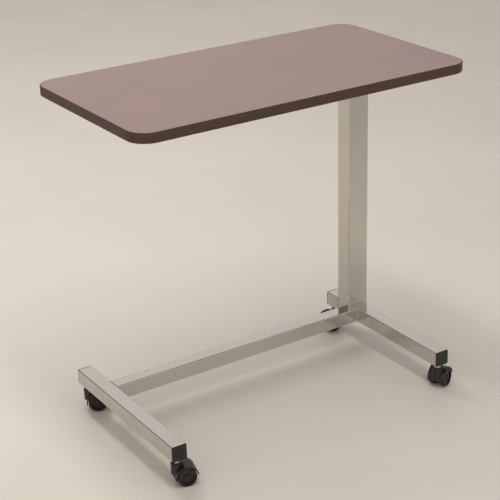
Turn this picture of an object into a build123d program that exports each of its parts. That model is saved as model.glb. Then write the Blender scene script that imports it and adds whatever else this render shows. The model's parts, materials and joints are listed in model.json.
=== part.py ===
from build123d import *
import math
import os

# Overbed table: a laminate top carried at one end by a telescopic column on a
# low base that rolls on four hooded twin-wheel casters.
#
# Frame, in millimetres: origin on the floor under the middle of the tabletop,
# +X along the long side towards the column, +Y towards the side where the
# column stands, +Z up.  The top is modelled at its lowest height.

# ---------------------------------------------------------------- tabletop
TOP_LENGTH = 762.0              # 30 in
TOP_DEPTH = 419.0               # 16 1/2 in
TOP_HEIGHT = 734.5              # upper face above the floor, lowest setting
TOP_THICKNESS = 20.0
TOP_CORNER_RADIUS = 41.0
LAMINATE_THICKNESS = 0.8
EDGE_BAND_THICKNESS = 2.0
EDGE_BAND_ROUND = 1.5
EDGE_BAND_SEAM_WIDTH = 0.5
EDGE_BAND_SEAM_X = -348.5       # butt joint of the band, on the front left corner
EDGE_BAND_SEAM_REACH = 5.0      # depth of the cut that opens the joint

# -------------------------------------------------------------------- base
FOOT_SIZE = 33.0                # square tube
FOOT_WALL = 1.5
FOOT_CORNER = 2.5
FOOT_TOP = 92.5                 # upper face of feet and cross bar
FOOT_LENGTH = 398.0             # over the end plugs
LEFT_FOOT_X = -325.0            # centre line of the left foot
RIGHT_FOOT_X = 338.5            # centre line of the right foot
PLUG_HEAD = 2.5                 # thickness of an end plug's visible head
PLUG_HEAD_ROUND = 0.8
PLUG_BODY_CORNER = 1.0
PLUG_DEPTH = 28.0               # how far a plug reaches into its tube
PLUG_GAP = 0.15                 # between plug and tube wall, each side
STEM_FROM_END = 15.0            # caster stem axis from the end of a foot
STEM_HOLE_GAP = 0.8             # radial, caster stem in the tube wall
STEM_BORE_ABOVE = 1.0           # socket above the stem's end

# ------------------------------------------------------------------ column
COLUMN_WIDTH = 54.0             # along X
COLUMN_DEPTH = 42.5             # along Y
COLUMN_WALL = 2.0
COLUMN_CORNER = 3.0
COLUMN_FRONT_Y = 113.8          # front face, level with the cross bar's rear face
COLUMN_TOP = 688.2
COLLAR_FLANGE = 4.0
COLLAR_SLEEVE = 40.0
COLLAR_GAP = 0.1                # collar sleeve to outer tube, each side
COLLAR_ROUND = 1.0
INNER_WIDTH = 46.0              # inner column tube, along X
INNER_DEPTH = 34.5              # inner column tube, along Y
INNER_CORNER = 3.0
INNER_BOTTOM = 92.5
SLIDE_GAP = 0.15                # sliding clearance, each side
GLIDE_HEIGHT = 35.0
GLIDE_FLANGE = 3.0
GLIDE_BORE_GAP = 0.5            # radial, gas spring through the bush
BASE_PLATE_BOTTOM = 72.5
BASE_PLATE_THICKNESS = 6.0
STUD_HOLE_GAP = 0.2             # radial

# -------------------------------------------------------------- gas spring
CYLINDER_RADIUS = 14.0
CYLINDER_WALL = 1.5
CYLINDER_LENGTH = 560.0
CYLINDER_FLOOR = 4.0
GUIDE_LENGTH = 14.0
ROD_RADIUS = 5.0
RUNNING_GAP = 0.05              # radial, shaft in bore
PISTON_BOTTOM = 198.5
PISTON_LENGTH = 18.0
ROD_TOP = 686.5
STUD_RADIUS = 4.0
STUD_BELOW_PLATE = 9.0
NUT_ACROSS_FLATS = 13.0
NUT_HEIGHT = 6.5
BRIDGE_BOTTOM = 674.5
BRIDGE_THICKNESS = 8.0
HEAD_NUT_ACROSS_FLATS = 16.0
PIN_RADIUS = 2.5
PIN_BOTTOM = 642.5
PIN_TOP = 694.5
PIN_CHAMFER = 0.6
PIN_BORE_BOTTOM = 632.5

# --------------------------------------------- support frame under the top
CHANNEL_WALL = 2.5
CHANNEL_HEIGHT = 22.0
CHANNEL_ROUND = 2.0
CHANNEL_FRONT_Y = -95.0
CHANNEL_REAR_Y = 175.0
ARM_WIDTH = 25.0
ARM_HEIGHT = 20.0
ARM_WALL = 1.5
ARM_CORNER = 2.0
ARM_FRONT_Y = -75.0             # centre line of the front arm
ARM_END_X = -230.0
TAB_SIZE = 26.0
TAB_THICKNESS = 3.0
TAB_CORNER = 4.0
TAB_X = (-180.0, 50.0, 280.0)
SCREW_HEAD_RADIUS = 4.5
SCREW_HEAD_HEIGHT = 2.5
SCREW_HEAD_ROUND = 1.2
SCREW_RECESS_LENGTH = 4.8
SCREW_RECESS_WIDTH = 1.0
SCREW_RECESS_DEPTH = 1.3
SCREW_RADIUS = 2.2
SCREW_REACH = 15.0              # into the top from its underside

# ----------------------------------------------------------- release lever
LEVER_WIDTH = 16.0
LEVER_THICKNESS = 4.0
LEVER_PIVOT_TO_PIN = 30.0
LEVER_PIVOT_Z = 701.5
LEVER_BOSS_RADIUS = 6.0
LEVER_NOSE_RADIUS = 4.0
LEVER_NOSE_GAP = 0.3            # above the release pin
LEVER_NOTCH_GAP = 2.0           # beside the lever in the inner tube
PIVOT_PIN_RADIUS = 3.0
PIVOT_PIN_HEAD_RADIUS = 5.0
PIVOT_PIN_HEAD = 1.5
LEVER_TIP_Y = -118.0
LEVER_TIP_Z = 691.5
LEVER_BEND_Y = 20.0
LEVER_BEND_Z = 698.5
GRIP_WIDTH = 30.0
GRIP_LENGTH = 62.0
GRIP_HEIGHT = 9.0
GRIP_ROUND = 3.0
GRIP_OVERHANG = 4.0             # beyond the lever's tip

# ----------------------------------------------------------------- casters
WHEEL_RADIUS = 20.0
WHEEL_INNER_FACE = 6.5          # from the caster's middle plane
WHEEL_OUTER_FACE = 20.0
WHEEL_SHOULDER = 3.0
WHEEL_INNER_ROUND = 1.0
WHEEL_DISH_OUTER = 15.0
WHEEL_DISH_INNER = 6.0
WHEEL_DISH_DEPTH = 3.5
WHEEL_HUB_SET_BACK = 2.0
AXLE_RADIUS = 2.5
CASTER_TRAIL = 16.5             # stem axis to axle
HOOD_RADIUS = 24.0
HOOD_THICKNESS = 2.5
HOOD_HALF_WIDTH = 20.0
HOOD_EDGE_ROUND = 1.0
HOOD_FRONT_ANGLE = 10.0         # trailing end of the hood above the axle, degrees
HOOD_REAR_ANGLE = 188.0         # stem end of the hood
HOOD_WEB_HALF = 6.0             # web between the wheels
HOOD_WEB_RADIUS = 18.0
HOOD_RIB_BOTTOM = 25.0          # the web's wider upper part starts here
BOSS_RADIUS = 12.0
BOSS_TOP = 49.5
BOSS_ROUND = 1.5
STEM_RADIUS = 5.5
STEM_TANG_RADIUS = 4.0          # lower end of the stem, inside the web
STEM_TANG_BOTTOM = 30.0
STEM_STEP_Z = 43.0
STEM_TOP = 86.0
SHOULDER_RADIUS = 8.0
SHOULDER_CHAMFER = 0.6
SHOULDER_TOP_GAP = 0.3          # below the foot tube

# ----------------------------------------------------------------- general
CUT = 1.0                       # how far a cutting shape runs past its face
SMALLEST_CORNER = 0.6           # inside corner of a tube

# direction in which each caster trails at rest, in degrees from +X
CASTER_HEADINGS = {
    "front_left": -15.0,
    "front_right": 26.0,
    "rear_left": -27.0,
    "rear_right": 176.0,
}

# ------------------------------------------------------- derived positions
TOP_UNDERSIDE = TOP_HEIGHT - TOP_THICKNESS
FOOT_BOTTOM = FOOT_TOP - FOOT_SIZE
FOOT_MID_Z = FOOT_TOP - FOOT_SIZE / 2
TUBE_END_Y = FOOT_LENGTH / 2 - PLUG_HEAD
STEM_Y = FOOT_LENGTH / 2 - STEM_FROM_END
BAR_START_X = LEFT_FOOT_X + FOOT_SIZE / 2
BAR_END_X = RIGHT_FOOT_X - FOOT_SIZE / 2
BAR_MID_Y = COLUMN_FRONT_Y - FOOT_SIZE / 2
COLUMN_X = BAR_END_X + COLUMN_WIDTH / 2
COLUMN_Y = COLUMN_FRONT_Y + COLUMN_DEPTH / 2
COLUMN_REAR_Y = COLUMN_FRONT_Y + COLUMN_DEPTH
CHANNEL_BOTTOM = TOP_UNDERSIDE - CHANNEL_HEIGHT
TAB_BOTTOM = TOP_UNDERSIDE - TAB_THICKNESS
INNER_TOP = TOP_UNDERSIDE - CHANNEL_WALL
CYLINDER_BOTTOM = BASE_PLATE_BOTTOM + BASE_PLATE_THICKNESS
CYLINDER_TOP = CYLINDER_BOTTOM + CYLINDER_LENGTH
BRIDGE_TOP = BRIDGE_BOTTOM + BRIDGE_THICKNESS
PIVOT_Y = COLUMN_Y - LEVER_PIVOT_TO_PIN
STEM_BORE_TOP = STEM_TOP + STEM_BORE_ABOVE
TUBE_HOLE_RADIUS = STEM_RADIUS + STEM_HOLE_GAP
CHANNEL_LEFT_X = COLUMN_X - INNER_WIDTH / 2 - CHANNEL_WALL
CHANNEL_RIGHT_X = COLUMN_X + INNER_WIDTH / 2 + CHANNEL_WALL


# ------------------------------------------------------------ small helpers
def block(x0, x1, y0, y1, z0, z1):
    """A plain box between two corners."""
    return Pos((x0 + x1) / 2, (y0 + y1) / 2, (z0 + z1) / 2) * Box(x1 - x0, y1 - y0, z1 - z0)


def post(x, y, radius, z0, z1):
    """A round bar standing along Z."""
    return Pos(x, y, (z0 + z1) / 2) * Cylinder(radius, z1 - z0)


def bar_along_y(x, z, radius, y0, y1):
    """A round bar lying along Y."""
    return Pos(x, (y0 + y1) / 2, z) * Rot(90, 0, 0) * Cylinder(radius, y1 - y0)


def bar_along_x(y, z, radius, x0, x1):
    """A round bar lying along X."""
    return Pos((x0 + x1) / 2, y, z) * Rot(0, 90, 0) * Cylinder(radius, x1 - x0)


def ring_section(width, depth, wall, corner):
    """The cross section of a rectangular tube with rounded corners."""
    inner_corner = max(corner - wall, SMALLEST_CORNER)
    outside = RectangleRounded(width, depth, corner)
    return outside - RectangleRounded(width - 2 * wall, depth - 2 * wall, inner_corner)


def tube_along_x(x0, x1, y, z, width, height, wall, corner):
    """A rectangular tube whose section is width in Y and height in Z."""
    plane = Plane(origin=(x0, y, z), x_dir=(0, 1, 0), z_dir=(1, 0, 0))
    return extrude(plane * ring_section(width, height, wall, corner), amount=x1 - x0)


def tube_along_y(y0, y1, x, z, width, height, wall, corner):
    """A rectangular tube whose section is width in X and height in Z."""
    plane = Plane(origin=(x, y0, z), x_dir=(1, 0, 0), z_dir=(0, 1, 0))
    return extrude(plane * ring_section(width, height, wall, corner), amount=y1 - y0)


def tube_along_z(z0, z1, x, y, width, depth, wall, corner):
    """A rectangular tube standing along Z."""
    plane = Plane(origin=(x, y, z0))
    return extrude(plane * ring_section(width, depth, wall, corner), amount=z1 - z0)


def rounded_block(x, y, width, depth, corner, z0, z1):
    """A block with a rounded rectangular outline."""
    outline = Plane(origin=(x, y, z0)) * RectangleRounded(width, depth, corner)
    return extrude(outline, amount=z1 - z0)


def hex_nut(x, y, across_flats, z0, height, bore):
    """A hexagon nut with a plain bore."""
    outline = Plane(origin=(x, y, z0)) * RegularPolygon(across_flats / 2, 6, major_radius=False)
    return extrude(outline, amount=height) - post(x, y, bore, z0 - CUT, z0 + height + CUT)


# ---------------------------------------------------------------- tabletop
def top_outline(inset):
    """The rounded outline of the top, moved inwards by inset."""
    return RectangleRounded(
        TOP_LENGTH - 2 * inset, TOP_DEPTH - 2 * inset, TOP_CORNER_RADIUS - inset
    )


def top_sheet(z0, z1):
    """A full sheet inside the edge band."""
    return extrude(Pos(0, 0, z0) * top_outline(EDGE_BAND_THICKNESS), amount=z1 - z0)


def tab_places():
    """The middle of each fixing tab beside the two arms."""
    reach = ARM_WIDTH / 2 + TAB_SIZE / 2
    rows = (COLUMN_Y + reach, ARM_FRONT_Y - reach)
    return [(x, y) for y in rows for x in TAB_X]


def pilot_holes():
    """Pilot holes for the screws that hold the frame to the top."""
    return [
        post(x, y, SCREW_RADIUS, TOP_UNDERSIDE, TOP_UNDERSIDE + SCREW_REACH)
        for x, y in tab_places()
    ]


def tabletop_core():
    return top_sheet(TOP_UNDERSIDE + LAMINATE_THICKNESS, TOP_HEIGHT - LAMINATE_THICKNESS) - pilot_holes()


def tabletop_laminate():
    return top_sheet(TOP_HEIGHT - LAMINATE_THICKNESS, TOP_HEIGHT)


def tabletop_backing():
    return top_sheet(TOP_UNDERSIDE, TOP_UNDERSIDE + LAMINATE_THICKNESS) - pilot_holes()


def tabletop_edge_band():
    outer = extrude(Pos(0, 0, TOP_UNDERSIDE) * top_outline(0), amount=TOP_THICKNESS)
    rims = outer.faces().sort_by(Axis.Z)[0].edges() + outer.faces().sort_by(Axis.Z)[-1].edges()
    outer = fillet(rims, EDGE_BAND_ROUND)
    band = outer - top_sheet(TOP_UNDERSIDE - CUT, TOP_HEIGHT + CUT)
    seam = block(
        EDGE_BAND_SEAM_X, EDGE_BAND_SEAM_X + EDGE_BAND_SEAM_WIDTH,
        -TOP_DEPTH / 2 - CUT, -TOP_DEPTH / 2 + EDGE_BAND_SEAM_REACH,
        TOP_UNDERSIDE - CUT, TOP_HEIGHT + CUT,
    )
    return band - seam


# -------------------------------------------------------------------- base
def foot_tube(x, y0, y1, stem_places):
    """A foot tube with a hole in its lower wall for each caster stem."""
    tube = tube_along_y(y0, y1, x, FOOT_MID_Z, FOOT_SIZE, FOOT_SIZE, FOOT_WALL, FOOT_CORNER)
    for y in stem_places:
        tube -= post(x, y, TUBE_HOLE_RADIUS, FOOT_BOTTOM - CUT, FOOT_BOTTOM + FOOT_WALL + CUT)
    return tube


def foot_plug(x, side):
    """An end plug with the socket for a caster stem; side is -1 front, +1 rear."""
    fit = FOOT_SIZE - 2 * FOOT_WALL - 2 * PLUG_GAP
    plane = Plane(origin=(x, side * TUBE_END_Y, FOOT_MID_Z), x_dir=(1, 0, 0), z_dir=(0, side, 0))
    head = extrude(plane * RectangleRounded(FOOT_SIZE, FOOT_SIZE, FOOT_CORNER), amount=PLUG_HEAD)
    head = fillet(head.faces().sort_by(Axis.Y)[-1 if side > 0 else 0].edges(), PLUG_HEAD_ROUND)
    body = extrude(plane * RectangleRounded(fit, fit, PLUG_BODY_CORNER), amount=-PLUG_DEPTH)
    bore = post(x, side * STEM_Y, STEM_RADIUS + RUNNING_GAP, FOOT_BOTTOM, STEM_BORE_TOP)
    return head + body - bore


def cross_bar_tube():
    return tube_along_x(
        BAR_START_X, BAR_END_X, BAR_MID_Y, FOOT_MID_Z, FOOT_SIZE, FOOT_SIZE, FOOT_WALL, FOOT_CORNER
    )


def outer_column_tube():
    return tube_along_z(
        FOOT_BOTTOM, COLUMN_TOP, COLUMN_X, COLUMN_Y,
        COLUMN_WIDTH, COLUMN_DEPTH, COLUMN_WALL, COLUMN_CORNER,
    )


def column_base_plate():
    plate = rounded_block(
        COLUMN_X, COLUMN_Y, COLUMN_WIDTH - 2 * COLUMN_WALL, COLUMN_DEPTH - 2 * COLUMN_WALL,
        COLUMN_CORNER - COLUMN_WALL, BASE_PLATE_BOTTOM, CYLINDER_BOTTOM,
    )
    hole_radius = STUD_RADIUS + STUD_HOLE_GAP
    return plate - post(COLUMN_X, COLUMN_Y, hole_radius, BASE_PLATE_BOTTOM - CUT, CYLINDER_BOTTOM + CUT)


def column_collar():
    """The moulded guide collar in the mouth of the outer tube."""
    flange = rounded_block(
        COLUMN_X, COLUMN_Y, COLUMN_WIDTH, COLUMN_DEPTH, COLUMN_CORNER,
        COLUMN_TOP, COLUMN_TOP + COLLAR_FLANGE,
    )
    flange = fillet(flange.faces().sort_by(Axis.Z)[-1].edges(), COLLAR_ROUND)
    sleeve = rounded_block(
        COLUMN_X, COLUMN_Y,
        COLUMN_WIDTH - 2 * COLUMN_WALL - 2 * COLLAR_GAP,
        COLUMN_DEPTH - 2 * COLUMN_WALL - 2 * COLLAR_GAP,
        COLUMN_CORNER - COLUMN_WALL + COLLAR_GAP, COLUMN_TOP - COLLAR_SLEEVE, COLUMN_TOP,
    )
    opening = rounded_block(
        COLUMN_X, COLUMN_Y, INNER_WIDTH + 2 * SLIDE_GAP, INNER_DEPTH + 2 * SLIDE_GAP,
        INNER_CORNER, COLUMN_TOP - COLLAR_SLEEVE - CUT, COLUMN_TOP + COLLAR_FLANGE + CUT,
    )
    return flange + sleeve - opening


# -------------------------------------------------------------- gas spring
def gas_spring_cylinder():
    outside = post(COLUMN_X, COLUMN_Y, CYLINDER_RADIUS, CYLINDER_BOTTOM, CYLINDER_TOP)
    hollow = post(
        COLUMN_X, COLUMN_Y, CYLINDER_RADIUS - CYLINDER_WALL,
        CYLINDER_BOTTOM + CYLINDER_FLOOR, CYLINDER_TOP + CUT,
    )
    stud = post(
        COLUMN_X, COLUMN_Y, STUD_RADIUS, BASE_PLATE_BOTTOM - STUD_BELOW_PLATE, CYLINDER_BOTTOM + CUT
    )
    return outside + stud - hollow


def gas_spring_guide():
    guide = post(
        COLUMN_X, COLUMN_Y, CYLINDER_RADIUS - CYLINDER_WALL, CYLINDER_TOP - GUIDE_LENGTH, CYLINDER_TOP
    )
    return guide - post(
        COLUMN_X, COLUMN_Y, ROD_RADIUS + RUNNING_GAP, CYLINDER_TOP - GUIDE_LENGTH - CUT, CYLINDER_TOP + CUT
    )


def gas_spring_foot_nut():
    return hex_nut(
        COLUMN_X, COLUMN_Y, NUT_ACROSS_FLATS, BASE_PLATE_BOTTOM - NUT_HEIGHT, NUT_HEIGHT, STUD_RADIUS
    )


def gas_spring_rod():
    rod = post(COLUMN_X, COLUMN_Y, ROD_RADIUS, PISTON_BOTTOM, ROD_TOP)
    piston = post(
        COLUMN_X, COLUMN_Y, CYLINDER_RADIUS - CYLINDER_WALL - RUNNING_GAP,
        PISTON_BOTTOM, PISTON_BOTTOM + PISTON_LENGTH,
    )
    bore = post(COLUMN_X, COLUMN_Y, PIN_RADIUS + RUNNING_GAP, PIN_BORE_BOTTOM, ROD_TOP + CUT)
    return rod + piston - bore


def gas_spring_bridge():
    """The block across the inner tube that takes the rod's end."""
    bridge = rounded_block(
        COLUMN_X, COLUMN_Y, INNER_WIDTH - 2 * COLUMN_WALL, INNER_DEPTH - 2 * COLUMN_WALL,
        INNER_CORNER - COLUMN_WALL, BRIDGE_BOTTOM, BRIDGE_TOP,
    )
    return bridge - post(COLUMN_X, COLUMN_Y, ROD_RADIUS, BRIDGE_BOTTOM - CUT, BRIDGE_TOP + CUT)


def gas_spring_head_nut():
    return hex_nut(
        COLUMN_X, COLUMN_Y, HEAD_NUT_ACROSS_FLATS, BRIDGE_TOP, ROD_TOP - BRIDGE_TOP, ROD_RADIUS
    )


def release_pin():
    pin = post(COLUMN_X, COLUMN_Y, PIN_RADIUS, PIN_BOTTOM, PIN_TOP)
    return chamfer(pin.faces().sort_by(Axis.Z)[-1].edges(), PIN_CHAMFER)


# ------------------------------------------------------------ inner column
def inner_column_tube():
    """The inner tube, with a notch in its front wall for the lever."""
    tube = tube_along_z(
        INNER_BOTTOM, INNER_TOP, COLUMN_X, COLUMN_Y,
        INNER_WIDTH, INNER_DEPTH, COLUMN_WALL, INNER_CORNER,
    )
    notch_half = LEVER_WIDTH / 2 + LEVER_NOTCH_GAP
    front_y = COLUMN_Y - INNER_DEPTH / 2
    notch = block(
        COLUMN_X - notch_half, COLUMN_X + notch_half,
        front_y - CUT, front_y + COLUMN_WALL + CUT, CHANNEL_BOTTOM, INNER_TOP + CUT,
    )
    return tube - notch


def lower_glide_bush():
    """The moulded bush on the foot of the inner tube."""
    body = rounded_block(
        COLUMN_X, COLUMN_Y,
        COLUMN_WIDTH - 2 * COLUMN_WALL - 2 * SLIDE_GAP,
        COLUMN_DEPTH - 2 * COLUMN_WALL - 2 * SLIDE_GAP,
        COLUMN_CORNER - COLUMN_WALL + SLIDE_GAP,
        INNER_BOTTOM - GLIDE_FLANGE, INNER_BOTTOM + GLIDE_HEIGHT,
    )
    pocket = rounded_block(
        COLUMN_X, COLUMN_Y, INNER_WIDTH, INNER_DEPTH, INNER_CORNER,
        INNER_BOTTOM, INNER_BOTTOM + GLIDE_HEIGHT + CUT,
    )
    passage = post(
        COLUMN_X, COLUMN_Y, CYLINDER_RADIUS + GLIDE_BORE_GAP,
        INNER_BOTTOM - GLIDE_FLANGE - CUT, INNER_BOTTOM + CUT,
    )
    return body - pocket - passage


# --------------------------------------------- support frame under the top
def support_channel():
    """The channel along Y, open downwards, that the inner tube is welded into."""
    outside = block(
        CHANNEL_LEFT_X, CHANNEL_RIGHT_X, CHANNEL_FRONT_Y, CHANNEL_REAR_Y, CHANNEL_BOTTOM, TOP_UNDERSIDE
    )
    long_edges = outside.edges().filter_by(Axis.Y).group_by(Axis.Z)[-1]
    outside = fillet(long_edges, CHANNEL_ROUND)
    inside = block(
        COLUMN_X - INNER_WIDTH / 2, COLUMN_X + INNER_WIDTH / 2,
        CHANNEL_FRONT_Y - CUT, CHANNEL_REAR_Y + CUT, CHANNEL_BOTTOM - CUT, INNER_TOP,
    )
    pin_holes = bar_along_x(
        PIVOT_Y, LEVER_PIVOT_Z, PIVOT_PIN_RADIUS, CHANNEL_LEFT_X - CUT, CHANNEL_RIGHT_X + CUT
    )
    return outside - inside - pin_holes


def support_arm(y):
    return tube_along_x(
        ARM_END_X, CHANNEL_LEFT_X, y, TOP_UNDERSIDE - ARM_HEIGHT / 2,
        ARM_WIDTH, ARM_HEIGHT, ARM_WALL, ARM_CORNER,
    )


def support_end_bar():
    return tube_along_y(
        ARM_FRONT_Y - ARM_WIDTH / 2, COLUMN_Y + ARM_WIDTH / 2, ARM_END_X - ARM_WIDTH / 2,
        TOP_UNDERSIDE - ARM_HEIGHT / 2, ARM_WIDTH, ARM_HEIGHT, ARM_WALL, ARM_CORNER,
    )


def fixing_tabs():
    """The welded tabs that the top is screwed to."""
    tabs = []
    for x, y in tab_places():
        tab = rounded_block(x, y, TAB_SIZE, TAB_SIZE, TAB_CORNER, TAB_BOTTOM, TOP_UNDERSIDE)
        tabs.append(tab - post(x, y, SCREW_RADIUS, TAB_BOTTOM - CUT, TOP_UNDERSIDE + CUT))
    return tabs


def screw_recess():
    """The cross recess of a screw, standing on the plane of its head."""
    slot = Box(SCREW_RECESS_LENGTH, SCREW_RECESS_WIDTH, 2 * SCREW_RECESS_DEPTH)
    return slot + Rot(0, 0, 90) * slot


def frame_screws():
    """Pan-head screws through the tabs into the core of the top."""
    screws = []
    head_bottom = TAB_BOTTOM - SCREW_HEAD_HEIGHT
    for x, y in tab_places():
        head = post(x, y, SCREW_HEAD_RADIUS, head_bottom, TAB_BOTTOM)
        head = fillet(head.faces().sort_by(Axis.Z)[0].edges(), SCREW_HEAD_ROUND)
        recess = Pos(x, y, head_bottom) * screw_recess()
        shank = post(x, y, SCREW_RADIUS, TAB_BOTTOM, TOP_UNDERSIDE + SCREW_REACH)
        screws.append(head + shank - recess)
    return screws


# ----------------------------------------------------------- release lever
def release_lever():
    """A bent strip lever: its nose stands over the pin, its tip under the top's front."""
    half = LEVER_THICKNESS / 2
    nose_z = PIN_TOP + LEVER_NOSE_GAP + LEVER_NOSE_RADIUS
    upper = [
        (COLUMN_Y, nose_z + half), (PIVOT_Y, LEVER_PIVOT_Z + half),
        (LEVER_BEND_Y, LEVER_BEND_Z + half), (LEVER_TIP_Y, LEVER_TIP_Z + half),
    ]
    lower = [(y, z - LEVER_THICKNESS) for y, z in reversed(upper)]
    plane = Plane(origin=(COLUMN_X - LEVER_WIDTH / 2, 0, 0), x_dir=(0, 1, 0), z_dir=(1, 0, 0))
    strip = extrude(plane * make_face(Polyline(*upper, *lower, close=True)), amount=LEVER_WIDTH)
    x0 = COLUMN_X - LEVER_WIDTH / 2
    x1 = COLUMN_X + LEVER_WIDTH / 2
    boss = bar_along_x(PIVOT_Y, LEVER_PIVOT_Z, LEVER_BOSS_RADIUS, x0, x1)
    nose = bar_along_x(COLUMN_Y, nose_z, LEVER_NOSE_RADIUS, x0, x1)
    bore = bar_along_x(PIVOT_Y, LEVER_PIVOT_Z, PIVOT_PIN_RADIUS + RUNNING_GAP, x0 - CUT, x1 + CUT)
    return strip + boss + nose - bore


def lever_pivot_pin():
    ends = (CHANNEL_LEFT_X - PIVOT_PIN_HEAD, CHANNEL_RIGHT_X + PIVOT_PIN_HEAD)
    pin = bar_along_x(PIVOT_Y, LEVER_PIVOT_Z, PIVOT_PIN_RADIUS, *ends)
    left_head = bar_along_x(PIVOT_Y, LEVER_PIVOT_Z, PIVOT_PIN_HEAD_RADIUS, ends[0], CHANNEL_LEFT_X)
    right_head = bar_along_x(PIVOT_Y, LEVER_PIVOT_Z, PIVOT_PIN_HEAD_RADIUS, CHANNEL_RIGHT_X, ends[1])
    return pin + left_head + right_head


def lever_grip():
    """The moulded grip over the lever's tip."""
    slope = (LEVER_BEND_Z - LEVER_TIP_Z) / (LEVER_BEND_Y - LEVER_TIP_Y)
    tip = Plane(
        origin=(COLUMN_X, LEVER_TIP_Y - GRIP_OVERHANG, LEVER_TIP_Z - GRIP_OVERHANG * slope),
        x_dir=(1, 0, 0), z_dir=(0, math.cos(math.atan(slope)), math.sin(math.atan(slope))),
    )
    grip = extrude(tip * RectangleRounded(GRIP_WIDTH, GRIP_HEIGHT, GRIP_ROUND), amount=GRIP_LENGTH)
    return grip - release_lever()


# ----------------------------------------------------------------- casters
def place_caster(shape, name):
    """Put a caster piece, made with its stem on the Z axis, under its foot."""
    x = LEFT_FOOT_X if name.endswith("left") else RIGHT_FOOT_X
    y = -STEM_Y if name.startswith("front") else STEM_Y
    return Pos(x, y, 0) * Rot(0, 0, CASTER_HEADINGS[name]) * shape


def hood_arc():
    """The curved cover over both wheels, as a sector of a ring about the axle."""
    reach = HOOD_RADIUS * 3
    span = [math.radians(a) for a in (HOOD_FRONT_ANGLE, 90.0, HOOD_REAR_ANGLE)]
    fan = [(0, 0)] + [(reach * math.cos(a), reach * math.sin(a)) for a in span]
    plane = Plane(origin=(CASTER_TRAIL, 0, WHEEL_RADIUS), x_dir=(1, 0, 0), z_dir=(0, -1, 0))
    ring = Circle(HOOD_RADIUS) - Circle(HOOD_RADIUS - HOOD_THICKNESS)
    sector = ring & make_face(Polyline(*fan, close=True))
    cover = extrude(plane * sector, amount=HOOD_HALF_WIDTH, both=True)
    rim = [e for e in cover.edges() if e.geom_type == GeomType.CIRCLE and e.radius > HOOD_RADIUS - 0.1]
    return fillet(rim, HOOD_EDGE_ROUND)


def caster_hood():
    """Housing: hood, stem boss and the web that carries the axle."""
    web_plane = Plane(origin=(CASTER_TRAIL, 0, WHEEL_RADIUS), x_dir=(1, 0, 0), z_dir=(0, -1, 0))
    web = extrude(web_plane * Circle(HOOD_WEB_RADIUS), amount=HOOD_WEB_HALF, both=True)
    rib = extrude(web_plane * Circle(HOOD_RADIUS - CUT), amount=HOOD_WEB_HALF, both=True)
    reach = 2 * HOOD_RADIUS
    rib &= block(-reach, reach, -reach, reach, HOOD_RIB_BOTTOM, WHEEL_RADIUS + HOOD_RADIUS)
    boss = post(0, 0, BOSS_RADIUS, HOOD_RIB_BOTTOM, BOSS_TOP)
    boss = fillet(boss.faces().sort_by(Axis.Z)[-1].edges(), BOSS_ROUND)
    body = hood_arc() + web + rib + boss
    for side in (-1, 1):
        near = side * HOOD_WEB_HALF
        far = side * (WHEEL_OUTER_FACE + CUT)
        body -= bar_along_y(
            CASTER_TRAIL, WHEEL_RADIUS, HOOD_RADIUS - HOOD_THICKNESS, min(near, far), max(near, far)
        )
    web_end = HOOD_WEB_HALF + CUT
    body -= bar_along_y(CASTER_TRAIL, WHEEL_RADIUS, AXLE_RADIUS, -web_end, web_end)
    body -= post(0, 0, STEM_TANG_RADIUS, STEM_TANG_BOTTOM, STEM_STEP_Z + CUT)
    return body - post(0, 0, STEM_RADIUS, STEM_STEP_Z, BOSS_TOP + CUT)


def caster_stem():
    """The stem, held in the boss, with the shoulder that carries the foot."""
    stem = post(0, 0, STEM_RADIUS, STEM_STEP_Z, STEM_TOP)
    tang = post(0, 0, STEM_TANG_RADIUS, STEM_TANG_BOTTOM, STEM_STEP_Z + CUT)
    shoulder = post(0, 0, SHOULDER_RADIUS, BOSS_TOP, FOOT_BOTTOM - SHOULDER_TOP_GAP)
    shoulder = chamfer(shoulder.edges().filter_by(GeomType.CIRCLE), SHOULDER_CHAMFER)
    return stem + tang + shoulder


def caster_axle():
    half = WHEEL_OUTER_FACE - WHEEL_HUB_SET_BACK
    return bar_along_y(CASTER_TRAIL, WHEEL_RADIUS, AXLE_RADIUS, -half, half)


def caster_wheel(side):
    """One wheel; side is +1 or -1 along the axle."""
    width = WHEEL_OUTER_FACE - WHEEL_INNER_FACE
    disc = post(0, 0, WHEEL_RADIUS, 0, width)
    disc = fillet(disc.faces().sort_by(Axis.Z)[-1].edges(), WHEEL_SHOULDER)
    disc = fillet(disc.faces().sort_by(Axis.Z)[0].edges(), WHEEL_INNER_ROUND)
    dish_bottom = width - WHEEL_DISH_DEPTH
    dish = post(0, 0, WHEEL_DISH_OUTER, dish_bottom, width + CUT)
    hub = post(0, 0, WHEEL_DISH_INNER, dish_bottom - CUT, width - WHEEL_HUB_SET_BACK)
    bore = post(0, 0, AXLE_RADIUS + RUNNING_GAP, -CUT, width + CUT)
    wheel = disc - dish + hub - bore
    return Pos(CASTER_TRAIL, side * WHEEL_INNER_FACE, WHEEL_RADIUS) * Rot(-90 * side, 0, 0) * wheel


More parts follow.
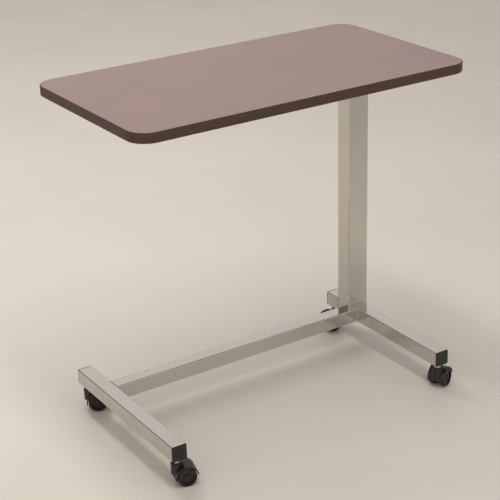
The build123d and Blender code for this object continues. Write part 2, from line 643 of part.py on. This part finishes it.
# ------------------------------------------------------------------ export
def build():
    nodes = {
        "tabletop_core": tabletop_core(),
        "tabletop_laminate": tabletop_laminate(),
        "tabletop_backing": tabletop_backing(),
        "tabletop_edge_band": tabletop_edge_band(),
        "left_foot_tube": foot_tube(LEFT_FOOT_X, -TUBE_END_Y, TUBE_END_Y, (-STEM_Y, STEM_Y)),
        "right_foot_front_tube": foot_tube(RIGHT_FOOT_X, -TUBE_END_Y, COLUMN_FRONT_Y, (-STEM_Y,)),
        "right_foot_rear_stub": foot_tube(RIGHT_FOOT_X, COLUMN_REAR_Y, TUBE_END_Y, (STEM_Y,)),
        "cross_bar_tube": cross_bar_tube(),
        "foot_plug_front_left": foot_plug(LEFT_FOOT_X, -1),
        "foot_plug_front_right": foot_plug(RIGHT_FOOT_X, -1),
        "foot_plug_rear_left": foot_plug(LEFT_FOOT_X, 1),
        "foot_plug_rear_right": foot_plug(RIGHT_FOOT_X, 1),
        "outer_column_tube": outer_column_tube(),
        "column_base_plate": column_base_plate(),
        "column_collar": column_collar(),
        "inner_column_tube": inner_column_tube(),
        "lower_glide_bush": lower_glide_bush(),
        "gas_spring_cylinder": gas_spring_cylinder(),
        "gas_spring_guide": gas_spring_guide(),
        "gas_spring_foot_nut": gas_spring_foot_nut(),
        "gas_spring_rod": gas_spring_rod(),
        "gas_spring_bridge": gas_spring_bridge(),
        "gas_spring_head_nut": gas_spring_head_nut(),
        "release_pin": release_pin(),
        "support_channel": support_channel(),
        "support_arm_front": support_arm(ARM_FRONT_Y),
        "support_arm_rear": support_arm(COLUMN_Y),
        "support_end_bar": support_end_bar(),
        "fixing_tabs": Compound(children=fixing_tabs()),
        "frame_screws": Compound(children=frame_screws()),
        "release_lever": release_lever(),
        "lever_pivot_pin": lever_pivot_pin(),
        "lever_grip": lever_grip(),
    }
    for name in CASTER_HEADINGS:
        nodes[f"caster_{name}_hood"] = place_caster(caster_hood(), name)
        nodes[f"caster_{name}_stem"] = place_caster(caster_stem(), name)
        nodes[f"caster_{name}_axle"] = place_caster(caster_axle(), name)
        nodes[f"caster_{name}_wheel_a"] = place_caster(caster_wheel(-1), name)
        nodes[f"caster_{name}_wheel_b"] = place_caster(caster_wheel(1), name)
    return nodes


os.makedirs("parts", exist_ok=True)
for node, shape in build().items():
    export_step(shape, f"parts/{node}.step")
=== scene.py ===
import json
import math

import bmesh
import bpy
from mathutils import Matrix, Vector


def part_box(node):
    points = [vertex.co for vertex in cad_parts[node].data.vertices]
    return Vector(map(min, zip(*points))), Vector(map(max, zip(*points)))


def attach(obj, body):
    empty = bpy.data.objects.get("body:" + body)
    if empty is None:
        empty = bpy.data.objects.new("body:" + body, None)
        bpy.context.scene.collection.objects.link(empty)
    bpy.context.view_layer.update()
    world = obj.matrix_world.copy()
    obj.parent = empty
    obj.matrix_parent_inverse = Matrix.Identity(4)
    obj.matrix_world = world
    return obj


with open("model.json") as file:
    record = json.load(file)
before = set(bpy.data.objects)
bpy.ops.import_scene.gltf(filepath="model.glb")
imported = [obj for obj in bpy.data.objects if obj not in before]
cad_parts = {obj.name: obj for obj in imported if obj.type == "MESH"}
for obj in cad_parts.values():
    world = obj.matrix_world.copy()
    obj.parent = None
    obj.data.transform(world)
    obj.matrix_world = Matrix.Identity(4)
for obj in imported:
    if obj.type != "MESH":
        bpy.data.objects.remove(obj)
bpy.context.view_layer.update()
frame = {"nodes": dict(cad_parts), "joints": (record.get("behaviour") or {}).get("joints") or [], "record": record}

NODES = frame["nodes"]

# ------------------------------------------------------------------ camera
CAMERA_PLACE = (-1.4522, -2.2158, 1.4870)      # metres, same frame as the table
CAMERA_YAW = -0.5733                            # radians, to the right of +Y
CAMERA_PITCH = -0.4047
CAMERA_ROLL = -0.0285
CAMERA_LENS = 99.62                             # mm on a 36 mm wide sensor
SENSOR_WIDTH = 36.0


def make_camera():
    data = bpy.data.cameras.new("camera")
    data.lens = CAMERA_LENS
    data.sensor_width = SENSOR_WIDTH
    data.clip_start = 0.05
    data.clip_end = 100.0
    camera = bpy.data.objects.new("camera", data)
    bpy.context.collection.objects.link(camera)
    ahead = Vector((
        -math.sin(CAMERA_YAW) * math.cos(CAMERA_PITCH),
        math.cos(CAMERA_YAW) * math.cos(CAMERA_PITCH),
        math.sin(CAMERA_PITCH),
    ))
    right = Vector((math.cos(CAMERA_YAW), math.sin(CAMERA_YAW), 0.0))
    up = right.cross(ahead)
    tilted_right = right * math.cos(CAMERA_ROLL) + up * math.sin(CAMERA_ROLL)
    tilted_up = up * math.cos(CAMERA_ROLL) - right * math.sin(CAMERA_ROLL)
    turn = Matrix((tilted_right, tilted_up, -ahead)).transposed()
    camera.matrix_world = Matrix.Translation(CAMERA_PLACE) @ turn.to_4x4()
    bpy.context.scene.camera = camera


make_camera()


# --------------------------------------------------------- shader helpers
class Shader:
    """A node material under construction, with its Principled shader."""

    def __init__(self, name, **settings):
        self.material = bpy.data.materials.new(name)
        self.material.use_nodes = True
        self.tree = self.material.node_tree
        self.surface = next(n for n in self.tree.nodes if n.type == "BSDF_PRINCIPLED")
        for socket, value in settings.items():
            self.surface.inputs[socket.replace("_", " ")].default_value = value
        self.place = self.add("ShaderNodeTexCoord").outputs["Object"]

    def add(self, kind, **settings):
        node = self.tree.nodes.new(kind)
        for key, value in settings.items():
            if key in node.inputs:
                node.inputs[key].default_value = value
            else:
                setattr(node, key, value)
        return node

    def link(self, source, target):
        self.tree.links.new(source, target)

    def stretched(self, scale):
        mapping = self.add("ShaderNodeMapping")
        mapping.inputs["Scale"].default_value = scale
        self.link(self.place, mapping.inputs["Vector"])
        return mapping.outputs["Vector"]

    def noise(self, scale, detail=4.0, roughness=0.5, stretch=(1, 1, 1)):
        node = self.add("ShaderNodeTexNoise")
        node.inputs["Scale"].default_value = scale
        node.inputs["Detail"].default_value = detail
        node.inputs["Roughness"].default_value = roughness
        self.link(self.stretched(stretch), node.inputs["Vector"])
        return node.outputs["Fac"]

    def ramp(self, source, stops):
        """A colour ramp; stops are (position, colour) pairs."""
        node = self.add("ShaderNodeValToRGB")
        ramp = node.color_ramp
        while len(ramp.elements) < len(stops):
            ramp.elements.new(0.5)
        for element, (position, colour) in zip(ramp.elements, stops):
            element.position = position
            element.color = (*colour, 1.0) if len(colour) == 3 else colour
        self.link(source, node.inputs["Fac"])
        return node.outputs["Color"]

    def spread(self, source, low, high, from_low=0.3, from_high=0.7):
        """Map a 0 to 1 texture onto a range of values."""
        node = self.add("ShaderNodeMapRange")
        node.inputs["From Min"].default_value = from_low
        node.inputs["From Max"].default_value = from_high
        node.inputs["To Min"].default_value = low
        node.inputs["To Max"].default_value = high
        self.link(source, node.inputs["Value"])
        return node.outputs["Result"]

    def bump(self, heights, distance, strength=1.0):
        """Stack bumps: heights is a list of texture outputs with one distance each."""
        normal = None
        for height, reach in zip(heights, distance):
            node = self.add("ShaderNodeBump")
            node.inputs["Distance"].default_value = reach
            node.inputs["Strength"].default_value = strength
            self.link(height, node.inputs["Height"])
            if normal is not None:
                self.link(normal, node.inputs["Normal"])
            normal = node.outputs["Normal"]
        self.link(normal, self.surface.inputs["Normal"])

    def colour(self, source):
        self.link(source, self.surface.inputs["Base Color"])

    def roughness(self, source):
        self.link(source, self.surface.inputs["Roughness"])


def chrome(name, tint=(0.62, 0.595, 0.56), low=0.07, high=0.13):
    """Bright chrome plate: faint haze, drawn-tube ripple and fine rubbing marks."""
    s = Shader(name, Metallic=1.0, Roughness=0.1)
    haze = s.noise(9.0, 3.0)
    rubs = s.noise(600.0, 2.0, stretch=(1.0, 1.0, 0.06))
    s.colour(s.ramp(haze, [(0.3, tuple(c * 0.94 for c in tint)), (0.7, tint)]))
    s.roughness(s.spread(haze, low, high))
    s.bump([s.noise(22.0, 1.0), rubs], [0.00025, 0.000006])
    return s.material


def laminate(name, base, light):
    """Satin laminate with a soft mottle, a fine speckle and an orange-peel texture."""
    s = Shader(name, Roughness=0.3)
    mottle = s.noise(7.0, 3.0, 0.5)
    speck = s.noise(900.0, 1.0, 0.5)
    tone = s.add("ShaderNodeMix", data_type="FLOAT")
    tone.inputs[0].default_value = 0.3
    s.link(mottle, tone.inputs[2])
    s.link(speck, tone.inputs[3])
    s.colour(s.ramp(tone.outputs[0], [(0.35, base), (0.65, light)]))
    s.roughness(s.spread(mottle, 0.27, 0.33))
    s.bump([s.noise(260.0, 1.0)], [0.00002])
    return s.material


def plastic(name, base, light, low, high, grain=0.00002, grain_scale=1500.0):
    """Moulded plastic: slight colour drift, fine grain, scuffed gloss."""
    s = Shader(name, Roughness=(low + high) / 2)
    drift = s.noise(30.0, 4.0)
    scuff = s.noise(120.0, 6.0, 0.7)
    s.colour(s.ramp(drift, [(0.35, base), (0.7, light)]))
    s.roughness(s.spread(scuff, low, high))
    s.bump([s.noise(grain_scale, 3.0)], [grain])
    return s.material


def metal(name, base, light, low, high):
    """Zinc plated steel: cloudy passivation and brushed roughness."""
    s = Shader(name, Metallic=1.0, Roughness=(low + high) / 2)
    cloud = s.noise(60.0, 5.0, 0.65)
    s.colour(s.ramp(cloud, [(0.3, base), (0.7, light)]))
    s.roughness(s.spread(cloud, low, high))
    s.bump([s.noise(900.0, 2.0)], [0.00001])
    return s.material


def paint(name, base, light):
    """Powder coat with its orange-peel surface."""
    s = Shader(name, Roughness=0.42)
    drift = s.noise(25.0, 3.0)
    s.colour(s.ramp(drift, [(0.3, base), (0.7, light)]))
    s.roughness(s.spread(drift, 0.38, 0.48))
    s.bump([s.noise(420.0, 2.0)], [0.00006])
    return s.material


def board(name):
    """Particle board: pressed chips of several browns."""
    s = Shader(name, Roughness=0.85)
    chips = s.add("ShaderNodeTexVoronoi", Scale=500.0)
    s.link(s.place, chips.inputs["Vector"])
    s.colour(s.ramp(chips.outputs["Distance"], [(0.1, (0.30, 0.19, 0.10)), (0.7, (0.52, 0.38, 0.22))]))
    s.bump([chips.outputs["Distance"]], [0.0002])
    return s.material


MATERIALS = {
    "top_laminate": laminate("top_laminate", (0.224, 0.147, 0.136), (0.256, 0.168, 0.156)),
    "backing_sheet": laminate("backing_sheet", (0.060, 0.042, 0.032), (0.075, 0.053, 0.041)),
    "core_board": board("core_board"),
    "edge_band": plastic("edge_band", (0.062, 0.031, 0.022), (0.076, 0.040, 0.029), 0.40, 0.52),
    "chrome_tube": chrome("chrome_tube"),
    "black_plastic": plastic("black_plastic", (0.013, 0.011, 0.007), (0.019, 0.016, 0.011), 0.42, 0.58),
    "caster_plastic": plastic("caster_plastic", (0.010, 0.008, 0.006), (0.016, 0.012, 0.010), 0.28, 0.42),
    "caster_wheel": plastic("caster_wheel", (0.011, 0.009, 0.006), (0.018, 0.014, 0.011), 0.40, 0.60),
    "zinc_steel": metal("zinc_steel", (0.52, 0.50, 0.46), (0.66, 0.64, 0.59), 0.22, 0.38),
    "rod_chrome": chrome("rod_chrome", low=0.04, high=0.08),
    "black_paint": paint("black_paint", (0.018, 0.018, 0.018), (0.026, 0.026, 0.026)),
    "guide_nylon": plastic("guide_nylon", (0.030, 0.029, 0.028), (0.042, 0.040, 0.038), 0.40, 0.55),
    "grip_vinyl": plastic("grip_vinyl", (0.022, 0.021, 0.020), (0.030, 0.029, 0.028), 0.30, 0.45),
}


def dress_nodes():
    """Give every CAD node the material of its slot."""
    for part in frame["record"]["subparts"]:
        mesh = NODES[part["node"]].data
        mesh.materials.clear()
        mesh.materials.append(MATERIALS[part["material_slot"]])


dress_nodes()


# -------------------------------------------------------------- weld beads
BEAD_RADIUS = 0.0016
BEAD_PITCH = 0.0028             # from one ripple of the weld to the next
BEAD_STEP = 0.0004
BEAD_SIDES = 12
BEAD_TIP = 0.00005              # radius where a bead ends
BEAD_RIPPLE = 0.14              # share of the radius that the ripples take
WELD_INSET = 0.0022             # the tubes' own corner rounding
TOP_WELD_SUNK = 0.0006          # middle of the welds on the cross bar, below its top face
WELD = chrome("weld_chrome", tint=(0.66, 0.635, 0.60), low=0.12, high=0.24)


def frame_across(direction):
    """Two unit vectors square to a direction."""
    helper = Vector((0, 0, 1)) if abs(direction.z) < 0.9 else Vector((1, 0, 0))
    first = direction.cross(helper).normalized()
    return first, direction.cross(first).normalized()


def skin(name, rings, material, body, rounded_ends):
    """A closed mesh over a row of rings of points, riding on a CAD body."""
    mesh = bmesh.new()
    rows = [[mesh.verts.new(point) for point in ring] for ring in rings]
    sides = len(rings[0])
    for before, after in zip(rows, rows[1:]):
        for k in range(sides):
            n = (k + 1) % sides
            mesh.faces.new((before[k], before[n], after[n], after[k]))
    mesh.faces.new(reversed(rows[0]))
    mesh.faces.new(rows[-1])
    bmesh.ops.recalc_face_normals(mesh, faces=mesh.faces)
    for face in mesh.faces:
        face.smooth = rounded_ends or len(face.verts) == 4
    data = bpy.data.meshes.new(name)
    mesh.to_mesh(data)
    mesh.free()
    data.materials.append(material)
    piece = bpy.data.objects.new(name, data)
    bpy.context.collection.objects.link(piece)
    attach(piece, body)


def ring_about(middle, radius, first, second, sides):
    """Points of a circle spanned by two unit vectors."""
    turns = [2 * math.pi * k / sides for k in range(sides)]
    return [middle + radius * (math.cos(turn) * first + math.sin(turn) * second) for turn in turns]


def bead(name, start, end):
    """A rippled weld bead from start to end, closed by rounded tips."""
    start, end = Vector(start), Vector(end)
    length = (end - start).length
    direction = (end - start) / length
    first, second = frame_across(direction)
    steps = max(8, round(length / BEAD_STEP))
    rings = []
    for i in range(steps + 1):
        along = length * i / steps
        to_end = min(along, length - along)
        tip = min(1.0, math.sqrt(max(to_end, 0.0) / BEAD_RADIUS))
        ripple = 1.0 - BEAD_RIPPLE + BEAD_RIPPLE * abs(math.sin(math.pi * along / BEAD_PITCH))
        radius = max(BEAD_RADIUS * tip * ripple, BEAD_TIP)
        rings.append(ring_about(start + direction * along, radius, first, second, BEAD_SIDES))
    skin(name, rings, WELD, "base", rounded_ends=True)


def weld_all():
    bar_low, bar_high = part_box("cross_bar_tube")
    column_low, column_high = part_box("outer_column_tube")
    foot_low, foot_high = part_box("right_foot_front_tube")
    inset = WELD_INSET
    top, bottom = bar_high[2], bar_low[2]
    bar_front, bar_rear = bar_low[1], bar_high[1]
    sunk = top - TOP_WELD_SUNK
    for side, x in (("left", bar_low[0]), ("right", bar_high[0])):
        bead(f"weld_bar_{side}_top", (x, bar_front + inset, sunk), (x, bar_rear - inset, sunk))
        bead(f"weld_bar_{side}_front", (x, bar_front, bottom + inset), (x, bar_front, top - inset))
        bead(f"weld_bar_{side}_under", (x, bar_front + inset, bottom), (x, bar_rear - inset, bottom))
    left = bar_low[0]
    bead("weld_bar_left_rear", (left, bar_rear, bottom + inset), (left, bar_rear, top - inset))
    front, rear = column_low[1], column_high[1]
    inner, outer = foot_low[0], foot_high[0]
    bead("weld_column_front", (inner + inset, front, top), (outer - inset, front, top))
    bead("weld_column_front_side", (outer, front, bottom + inset), (outer, front, top - inset))
    bead("weld_column_rear", (inner + inset, rear, top), (outer - inset, rear, top))
    bead("weld_column_rear_side", (outer, rear, bottom + inset), (outer, rear, top - inset))
    bead("weld_column_rear_inner", (inner, rear, bottom + inset), (inner, rear, top - inset))


weld_all()


# ---------------------------------------------------------------- hub caps
HUB_SET_BACK = 0.002            # hub face behind the wheel's outer face
CAP_SIDES = 48
# height above the hub face and radius, from the rim to the middle
CAP_PROFILE = (
    (-0.0002, 0.0055),
    (0.0004, 0.0055),
    (0.0008, 0.0052),
    (0.0010, 0.0046),
    (0.0010, 0.0038),
    (0.0013, 0.0034),
    (0.0016, 0.0022),
    (0.0017, 0.0008),
)


def hub_cap(name, body, axle, outward):
    """A stepped, domed cap over the axle's end, turning with its wheel."""
    first, second = frame_across(outward)
    rings = [
        ring_about(axle + outward * height, radius, first, second, CAP_SIDES)
        for height, radius in CAP_PROFILE
    ]
    skin(name, rings, MATERIALS["caster_plastic"], body, rounded_ends=False)


def cap_all():
    for joint in frame["joints"]:
        if joint["name"].startswith("roll_"):
            place, axis = Vector(joint["pos_m"]), Vector(joint["axis"])
            corner, letter = joint["name"].removeprefix("roll_").rsplit("_", 1)
            wheel = NODES[f"caster_{corner}_wheel_{letter}"]
            outward = axis if letter == "b" else -axis
            reach = max((v.co - place).dot(outward) for v in wheel.data.vertices)
            hub_face = place + outward * (reach - HUB_SET_BACK)
            hub_cap(f"hub_cap_{corner}_{letter}", joint["child"], hub_face, outward)


cap_all()


# ---------------------------------------------------------- floor and light
LAMP_PLACE = (-0.30, 0.8, 2.6)
LAMP_BELOW = (-0.30, 0.8, 0.0)
LAMP_SIZE = (0.35, 4.4)         # long along Y, so the feet throw the sharper shadows
LAMP_POWER = 47.0
LAMP_COLOUR = (1.0, 0.96, 0.92)
SKY_BASE = 0.28
SKY_TINT = (1.0, 0.955, 0.90)
# heading and height in degrees, reach in degrees, strength
SKY_SPOTS = (
    (66.0, 33.0, 28.0, 0.31),       # the bright wall that the flat tops reflect
    (57.0, 18.0, 42.0, 0.22),
    (250.0, 35.0, 80.0, 0.56),      # soft fill from behind the camera
    (180.0, 30.0, 50.0, 0.25),
)
FLOOR_HALF = 50.0
FLOOR_BASE = (0.70, 0.652, 0.592)
FLOOR_LIGHT = (0.75, 0.703, 0.643)


def make_floor():
    mesh = bpy.data.meshes.new("floor")
    corners = [(x * FLOOR_HALF, y * FLOOR_HALF, 0.0) for x, y in ((-1, -1), (1, -1), (1, 1), (-1, 1))]
    mesh.from_pydata(corners, [], [(0, 1, 2, 3)])
    floor = bpy.data.objects.new("floor", mesh)
    bpy.context.collection.objects.link(floor)
    s = Shader("floor", Roughness=0.5)
    worn = s.noise(1.6, 6.0, 0.6)
    s.colour(s.ramp(worn, [(0.3, FLOOR_BASE), (0.7, FLOOR_LIGHT)]))
    s.roughness(s.spread(s.noise(5.0, 4.0), 0.38, 0.55))
    mesh.materials.append(s.material)


def lobe(tree, ray, heading, height, reach, value):
    """A soft spot on the sky: value at its middle, fading to 0 at reach degrees away."""
    flat = math.cos(math.radians(height))
    towards = (
        flat * math.cos(math.radians(heading)),
        flat * math.sin(math.radians(heading)),
        math.sin(math.radians(height)),
    )
    dot = tree.nodes.new("ShaderNodeVectorMath")
    dot.operation = "DOT_PRODUCT"
    dot.inputs[1].default_value = towards
    tree.links.new(ray, dot.inputs[0])
    fade = tree.nodes.new("ShaderNodeMapRange")
    fade.interpolation_type = "SMOOTHSTEP"
    fade.inputs["From Min"].default_value = math.cos(math.radians(reach))
    fade.inputs["From Max"].default_value = 1.0
    fade.inputs["To Min"].default_value = 0.0
    fade.inputs["To Max"].default_value = value
    tree.links.new(dot.outputs["Value"], fade.inputs["Value"])
    return fade.outputs["Result"]


def make_world():
    """A dim studio with one bright wall behind the table's column end."""
    world = bpy.data.worlds.new("studio")
    world.use_nodes = True
    bpy.context.scene.world = world
    tree = world.node_tree
    background = next(n for n in tree.nodes if n.type == "BACKGROUND")
    ray = tree.nodes.new("ShaderNodeTexCoord").outputs["Generated"]
    total = None
    for spot in SKY_SPOTS:
        part = lobe(tree, ray, *spot)
        if total is not None:
            add = tree.nodes.new("ShaderNodeMath")
            add.operation = "ADD"
            tree.links.new(total, add.inputs[0])
            tree.links.new(part, add.inputs[1])
            part = add.outputs[0]
        total = part
    base = tree.nodes.new("ShaderNodeMath")
    base.operation = "ADD"
    base.inputs[1].default_value = SKY_BASE
    base.use_clamp = False
    tree.links.new(total, base.inputs[0])
    tree.links.new(base.outputs[0], background.inputs["Strength"])
    background.inputs["Color"].default_value = (*SKY_TINT, 1.0)


def area_light(name, place, aim, size, power, colour):
    data = bpy.data.lights.new(name, "AREA")
    data.shape = "RECTANGLE"
    data.size, data.size_y = size
    data.energy = power
    data.color = colour
    light = bpy.data.objects.new(name, data)
    bpy.context.collection.objects.link(light)
    light.location = place
    light.rotation_mode = "QUATERNION"
    light.rotation_quaternion = (Vector(aim) - Vector(place)).to_track_quat("-Z", "Y")
    light.visible_glossy = False            # keeps the chrome's rounded edges dark


bpy.context.scene.view_settings.view_transform = "Standard"
make_floor()
make_world()
area_light("lamp", LAMP_PLACE, LAMP_BELOW, LAMP_SIZE, LAMP_POWER, LAMP_COLOUR)
